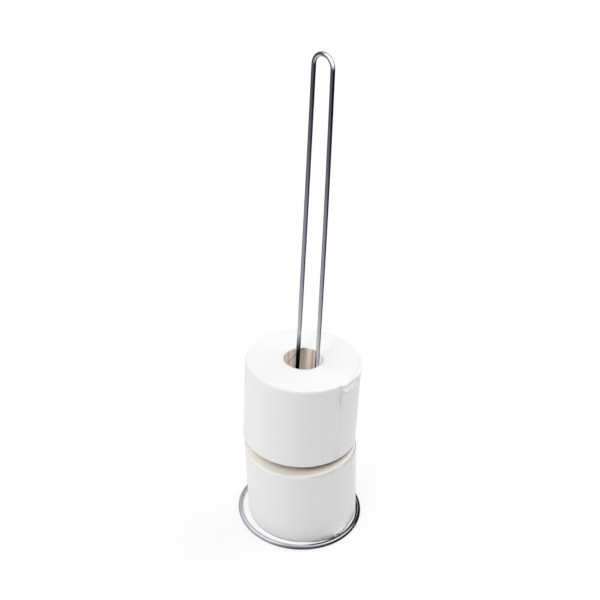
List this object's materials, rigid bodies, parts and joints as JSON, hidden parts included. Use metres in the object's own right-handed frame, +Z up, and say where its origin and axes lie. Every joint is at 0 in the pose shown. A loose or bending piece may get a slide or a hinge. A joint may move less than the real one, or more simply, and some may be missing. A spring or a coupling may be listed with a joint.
{
  "type": "toilet roll storage holder",
  "caption": "Free-standing chromed wire holder: a round wire base and a tall narrow wire loop on which spare toilet rolls are stacked by their cores.",
  "frame": {"origin": "middle of the base ring, on the floor", "axes": "+Z up along the loop; X along the cross bar, in the plane of the loop; +Y square to the loop"},
  "size_m": [0.1445, 0.1444, 0.55],
  "materials": {
    "ring_chrome": "polished",
    "bar_chrome": "polished",
    "loop_chrome": "polished",
    "weld_chrome": "satin",
    "core_board": "matte",
    "wound_paper": "matte",
    "outer_sheet": "matte"
  },
  "bodies": {
    "stand": {"base_ring": "ring_chrome", "ring_weld": "weld_chrome", "cross_bar": "bar_chrome", "bar_welds": "weld_chrome", "upright_loop": "loop_chrome", "leg_welds": "weld_chrome"},
    "lower_roll": {"lower_core": "core_board", "lower_paper": "wound_paper", "lower_outer_sheet": "outer_sheet"},
    "upper_roll": {"upper_core": "core_board", "upper_paper": "wound_paper", "upper_outer_sheet": "outer_sheet"}
  },
  "joints": [
    {"name": "lower_roll_lift", "type": "slide", "parent": "stand", "child": "lower_roll", "axis": [0, 0, 1], "range_m": [0, 0.555]},
    {"name": "upper_roll_lift", "type": "slide", "parent": "lower_roll", "child": "upper_roll", "axis": [0, 0, 1], "range_m": [0, 0.445]}
  ]
}
